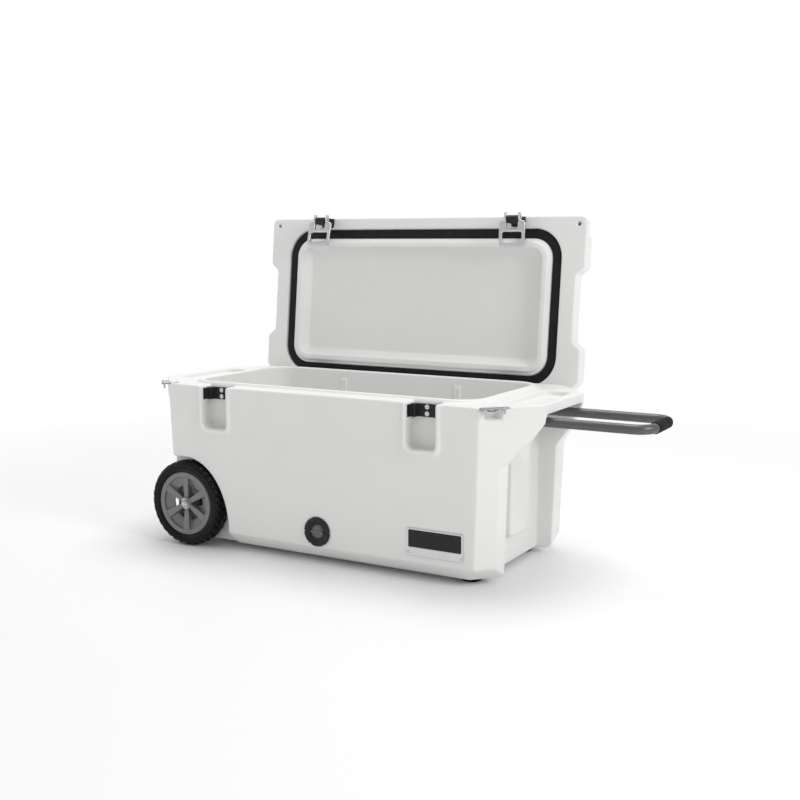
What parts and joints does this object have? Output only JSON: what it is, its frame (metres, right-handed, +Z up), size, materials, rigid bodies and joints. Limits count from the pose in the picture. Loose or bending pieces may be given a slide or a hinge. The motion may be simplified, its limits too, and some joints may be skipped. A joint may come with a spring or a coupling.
{
  "type": "wheeled cooler",
  "caption": "Hard-sided wheeled cooler with a hinged lid standing open, lever latches, a drain plug and a fold-down tow handle.",
  "frame": {"origin": "on the floor, under the middle of the whole outline at rest, with the lid open and the handle raised; the body's middle is at x -0.106, y -0.042 m", "axes": "+X along the body from the wheels to the tow handle, -Y out of the front with the latches, +Z up"},
  "size_m": [1.1788, 0.5286, 0.7556],
  "materials": {
    "shell_white": "satin",
    "foam": "matte",
    "black_plastic": "satin",
    "plug_grey": "satin",
    "rim_grey": "satin",
    "steel": "satin",
    "chrome": "polished",
    "cast_aluminium": "satin",
    "tube_grey": "satin",
    "grip_rubber": "matte",
    "tyre_rubber": "matte",
    "gasket_rubber": "matte",
    "badge_dark": "gloss"
  },
  "bodies": {
    "body": {"body_shell": "shell_white", "body_foam": "foam", "drain_body": "black_plastic", "drain_nut": "black_plastic", "axle": "steel", "axle_sleeves": "black_plastic", "axle_washers": "steel", "axle_caps": "chrome", "latch_keeper_left": "black_plastic", "latch_keeper_right": "black_plastic", "keeper_screws": "steel", "hinge_bracket_left": "black_plastic", "hinge_bracket_right": "black_plastic", "hinge_bracket_screws": "steel", "hinge_pin_left": "steel", "hinge_pin_right": "steel", "lock_plate_left": "steel", "lock_plate_right": "steel", "lock_plate_screws": "steel", "badge_plate": "cast_aluminium", "badge_inlay": "badge_dark", "badge_rivets": "steel", "handle_bracket_front": "tube_grey", "handle_bracket_rear": "tube_grey", "handle_bracket_screws": "steel", "handle_pivot_bolts": "steel", "rubber_feet": "tyre_rubber", "foot_screws": "steel"},
    "lid": {"lid_shell": "shell_white", "lid_foam": "foam", "lid_gasket": "gasket_rubber", "latch_block_left": "black_plastic", "latch_block_right": "black_plastic", "hinge_arm_left": "black_plastic", "hinge_arm_right": "black_plastic", "lid_screws": "steel"},
    "latch_axis_left": {"latch_pin_left": "steel"},
    "latch_axis_right": {"latch_pin_right": "steel"},
    "lever_left": {"latch_lever_left": "cast_aluminium"},
    "lever_right": {"latch_lever_right": "cast_aluminium"},
    "handle": {"handle_tube": "tube_grey", "handle_grip": "grip_rubber", "handle_bushes": "black_plastic"},
    "wheel_front": {"wheel_rim_front": "rim_grey", "wheel_tyre_front": "tyre_rubber", "wheel_bush_front": "black_plastic"},
    "wheel_rear": {"wheel_rim_rear": "rim_grey", "wheel_tyre_rear": "tyre_rubber", "wheel_bush_rear": "black_plastic"},
    "drain_lift": {"drain_seal": "gasket_rubber"},
    "drain_turn": {"drain_plug": "plug_grey"}
  },
  "joints": [
    {"name": "lid_hinge", "type": "hinge", "parent": "body", "child": "lid", "pos_m": [-0.10565, 0.1498, 0.351], "axis": [1, 0, 0], "range_deg": [0, 96]},
    {"name": "latch_left_follow", "type": "hinge", "parent": "lid", "child": "latch_axis_left", "pos_m": [-0.36565, 0.18182, 0.74179], "axis": [1, 0, 0], "range_deg": [-91, 0]},
    {"name": "latch_right_follow", "type": "hinge", "parent": "lid", "child": "latch_axis_right", "pos_m": [0.15435, 0.18182, 0.74179], "axis": [1, 0, 0], "range_deg": [-102, 0]},
    {"name": "latch_left_swing", "type": "hinge", "parent": "latch_axis_left", "child": "lever_left", "pos_m": [-0.36565, 0.18182, 0.74179], "axis": [1, 0, 0], "range_deg": [-80, 8]},
    {"name": "latch_right_swing", "type": "hinge", "parent": "latch_axis_right", "child": "lever_right", "pos_m": [0.15435, 0.18182, 0.74179], "axis": [1, 0, 0], "range_deg": [-80, 8]},
    {"name": "handle_fold", "type": "hinge", "parent": "body", "child": "handle", "pos_m": [0.27935, -0.0422, 0.331], "axis": [0, 1, 0], "range_deg": [0, 90]},
    {"name": "wheel_front_spin", "type": "hinge", "parent": "body", "child": "wheel_front", "pos_m": [-0.45265, -0.2372, 0.098], "axis": [0, 1, 0], "continuous": true},
    {"name": "wheel_rear_spin", "type": "hinge", "parent": "body", "child": "wheel_rear", "pos_m": [-0.45265, 0.1528, 0.098], "axis": [0, 1, 0], "continuous": true},
    {"name": "drain_draw", "type": "slide", "parent": "body", "child": "drain_lift", "axis": [0, -1, 0], "range_m": [0, 0.009]},
    {"name": "drain_turn", "type": "hinge", "parent": "drain_lift", "child": "drain_turn", "pos_m": [-0.09765, -0.2422, 0.076], "axis": [0, -1, 0], "range_deg": [0, 1080]}
  ],
  "couplings": [
    {"joint": "latch_left_follow", "follows": "lid_hinge", "ratio": -0.9375},
    {"joint": "latch_right_follow", "follows": "lid_hinge", "ratio": -1.0521},
    {"joint": "drain_draw", "follows": "drain_turn", "m_per_rad": 0.00047746}
  ]
}
